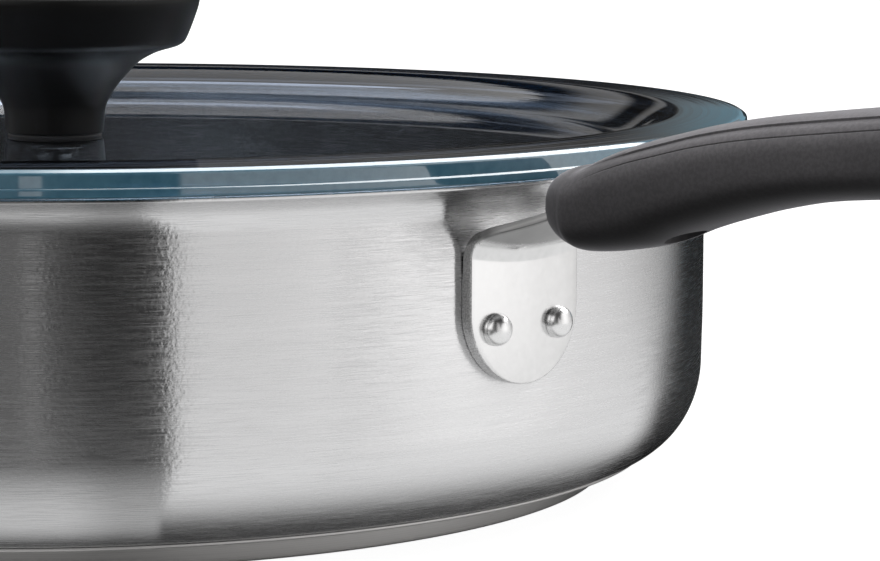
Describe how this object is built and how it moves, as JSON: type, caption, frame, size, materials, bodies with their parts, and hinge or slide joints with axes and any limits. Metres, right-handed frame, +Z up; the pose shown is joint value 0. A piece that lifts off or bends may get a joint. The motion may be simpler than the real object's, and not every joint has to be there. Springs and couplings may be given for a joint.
{
  "type": "saute pan with lid",
  "caption": "Straight-sided stainless saute pan with a bonded base disc, riveted bracket, long soft-grip handle and a flat recessed glass lid with a mushroom knob.",
  "frame": {"origin": "centre of the flat face that the base disc rests on", "axes": "+Z up along the pan's axis, +X from the pan's axis along the handle"},
  "size_m": [0.4711, 0.2772, 0.0956],
  "materials": {
    "brushed_steel_body": "brushed round the wall",
    "aluminium_core": "matte",
    "base_steel": "brushed in circles",
    "bracket_steel": "satin, sheared edges",
    "rivet_steel": "polished",
    "core_nylon": "moulded",
    "soft_grip": "soft matte",
    "screw_steel": "plain",
    "eye_nylon": "moulded",
    "tinted_glass": "clear blue-green tempered glass",
    "knob_phenolic": "satin phenolic",
    "insert_brass": "turned",
    "silicone": "matte silicone"
  },
  "bodies": {
    "pan": {"pan_body": "brushed_steel_body", "base_core": "aluminium_core", "base_cap": "base_steel", "handle_bracket": "bracket_steel", "bracket_rivets": "rivet_steel", "handle_core": "core_nylon", "handle_grip": "soft_grip", "handle_screw": "screw_steel", "hanging_eye": "eye_nylon"},
    "lid": {"lid_glass": "tinted_glass", "lid_knob": "knob_phenolic", "knob_insert": "insert_brass", "knob_gasket": "silicone", "under_gasket": "silicone", "screw_washer": "screw_steel", "knob_screw": "screw_steel"}
  },
  "joints": [
    {"name": "lid_lift", "type": "slide", "parent": "pan", "child": "lid", "axis": [0, 0, 1], "range_m": [0, 0.12]}
  ]
}
